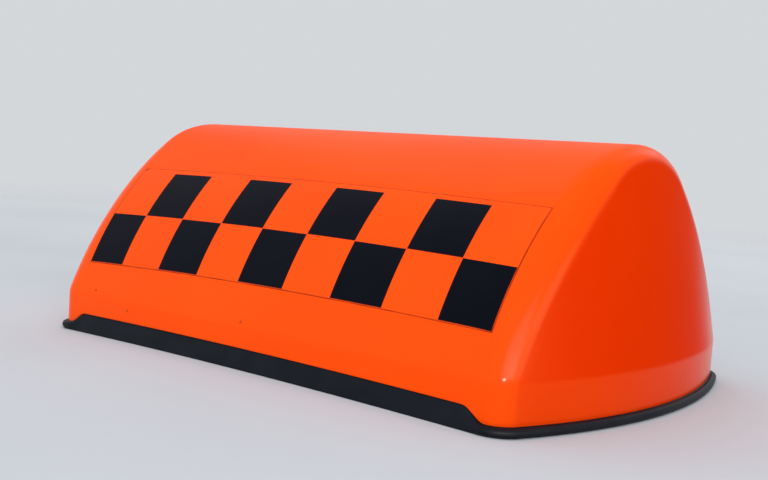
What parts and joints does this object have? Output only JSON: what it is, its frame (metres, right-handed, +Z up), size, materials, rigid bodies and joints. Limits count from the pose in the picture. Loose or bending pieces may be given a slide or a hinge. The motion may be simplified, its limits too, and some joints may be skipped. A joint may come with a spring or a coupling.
{
  "type": "taxi roof sign",
  "caption": "Moulded orange roof light for a taxi, with a chequered film on both faces, on a black tray with a rubber rim and magnets.",
  "frame": {"origin": "centre of the sign's footprint, at the lowest line of its rubber rim", "axes": "+X along the sign's length, across the car; +Y towards the sign's back; +Z up; the front face looks along -Y"},
  "size_m": [0.3772, 0.2412, 0.1349],
  "materials": {
    "cover": "smooth, slightly glossy moulded plastic",
    "film": "satin self-adhesive film",
    "squares": "satin black print on film",
    "tray": "matt black moulded plastic",
    "rubber": "black rubber with a dull sheen"
  },
  "bodies": {
    "root": {"cover": "cover", "film_front": "film", "film_back": "film", "squares_front": "squares", "squares_back": "squares", "base_tray": "tray", "rim_seal": "rubber", "cable_gland": "rubber", "boot_front_left": "rubber", "boot_front_right": "rubber", "boot_back_left": "rubber", "boot_back_right": "rubber"}
  },
  "joints": []
}
